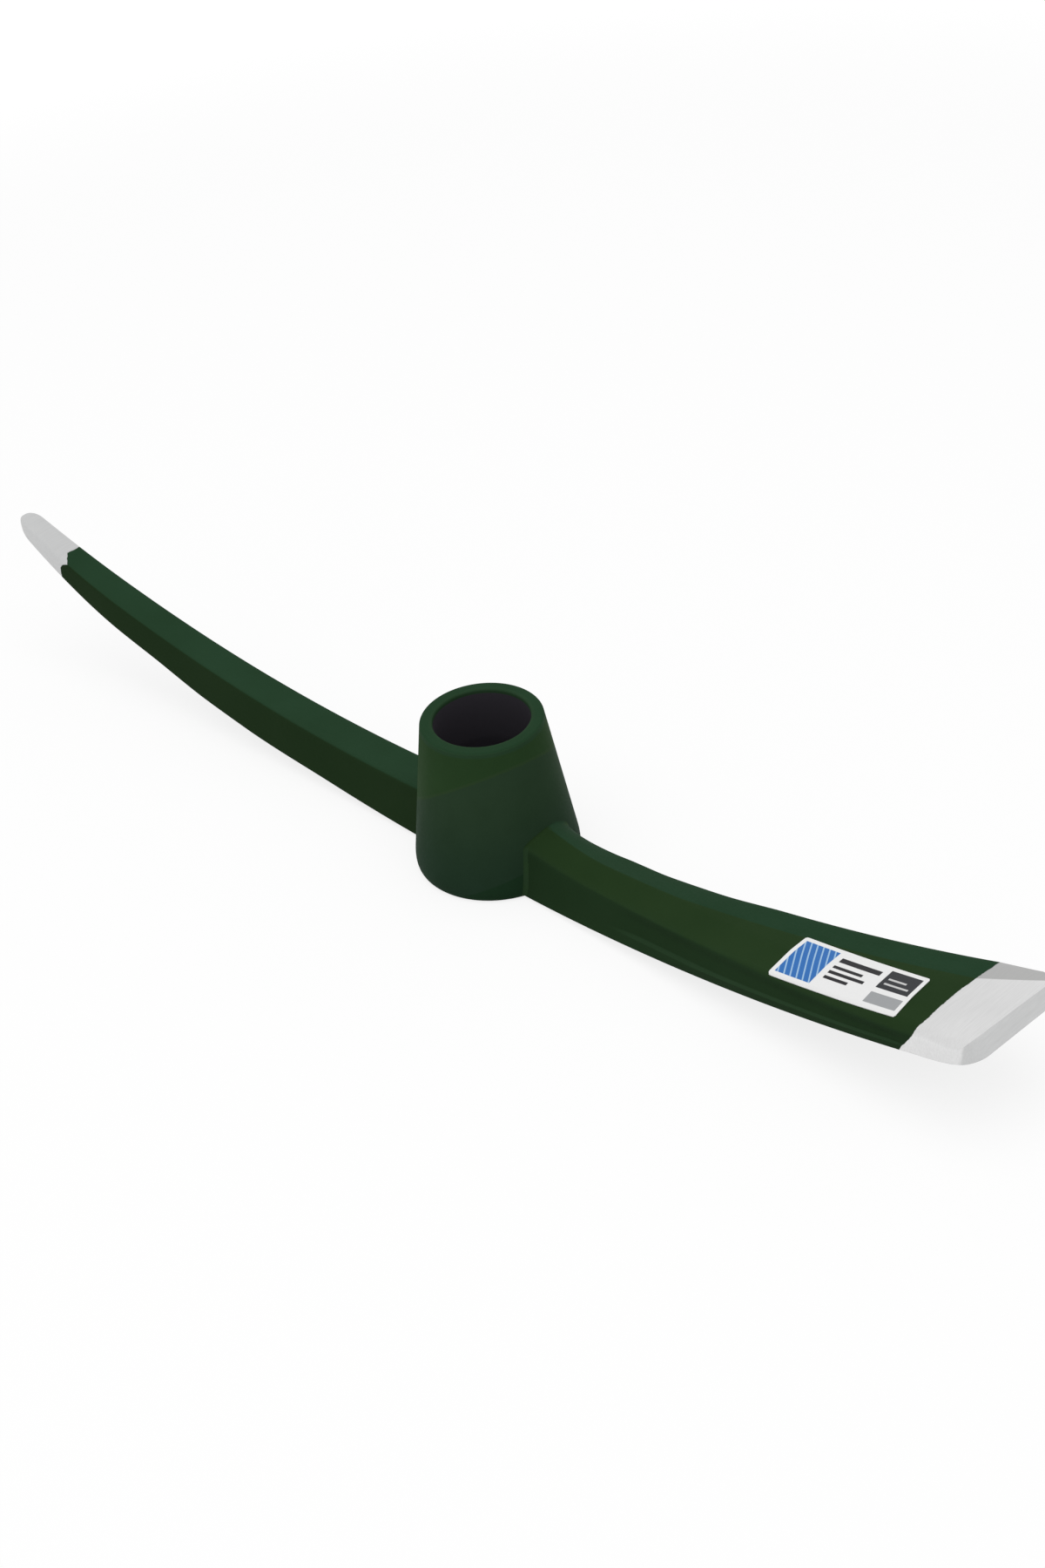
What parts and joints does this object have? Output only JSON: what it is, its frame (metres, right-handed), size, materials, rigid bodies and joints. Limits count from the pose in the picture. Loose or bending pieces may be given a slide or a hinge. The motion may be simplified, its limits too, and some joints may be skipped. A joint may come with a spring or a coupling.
{
  "type": "pick axe head",
  "caption": "Pick axe head with a tapered round eye for a handle, a pointed pick arm and a broad chisel arm, painted green with bare steel ends.",
  "frame": {"origin": "on the eye's axis, in the plane of the eye's wide base, on which the head stands", "axes": "+X along the chisel arm, +Z along the eye's axis towards the narrow collar, so the pick runs along -X"},
  "size_m": [0.5875, 0.0714, 0.0713],
  "materials": {
    "paint": "satin dark green enamel on forged steel",
    "steel": "ground bare steel",
    "paper": "printed self-adhesive label"
  },
  "bodies": {
    "root": {"eye_socket": "paint", "pick_arm": "paint", "pick_root_weld": "paint", "pick_point": "steel", "chisel_arm": "paint", "chisel_root_weld": "paint", "chisel_bit": "steel", "label": "paper"}
  },
  "joints": []
}
